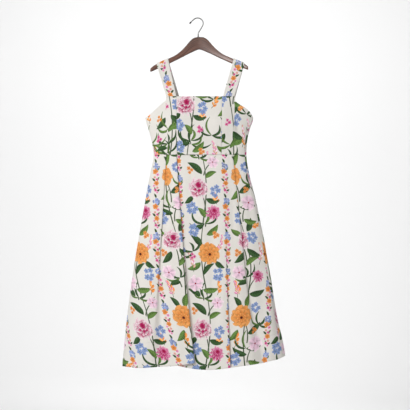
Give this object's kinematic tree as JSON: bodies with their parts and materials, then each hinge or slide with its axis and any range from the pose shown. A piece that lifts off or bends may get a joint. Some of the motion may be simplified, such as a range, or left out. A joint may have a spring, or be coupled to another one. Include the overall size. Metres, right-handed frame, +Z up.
{
  "type": "fit and flare dress on a wooden hanger",
  "caption": "Sleeveless fit and flare dress with wide straps and a pleated midi skirt, hung on a contoured wooden hanger with a wire hook.",
  "frame": {"origin": "underside of the hook's crown, where a rail carries the hanger", "axes": "+Z up, +X to the right as the dress's front is seen, and the front looks along -Y"},
  "size_m": [0.6576, 0.1535, 1.4103],
  "materials": {
    "printed_cloth": "off-white plain weave with a climbing-flower print",
    "stained_wood": "dark red-brown stain under a satin lacquer",
    "brushed_metal": "plain bent wire, satin",
    "tip_cap": "dark dipped cap"
  },
  "bodies": {
    "root": {"bodice_front_centre": "printed_cloth", "bodice_front_left": "printed_cloth", "bodice_front_right": "printed_cloth", "bodice_back": "printed_cloth", "skirt_front": "printed_cloth", "skirt_back": "printed_cloth", "strap_left": "printed_cloth", "strap_right": "printed_cloth", "hanger_arms": "stained_wood", "hanger_ferrule": "brushed_metal", "hanger_hook": "brushed_metal", "hanger_hook_tip": "tip_cap"}
  },
  "joints": []
}
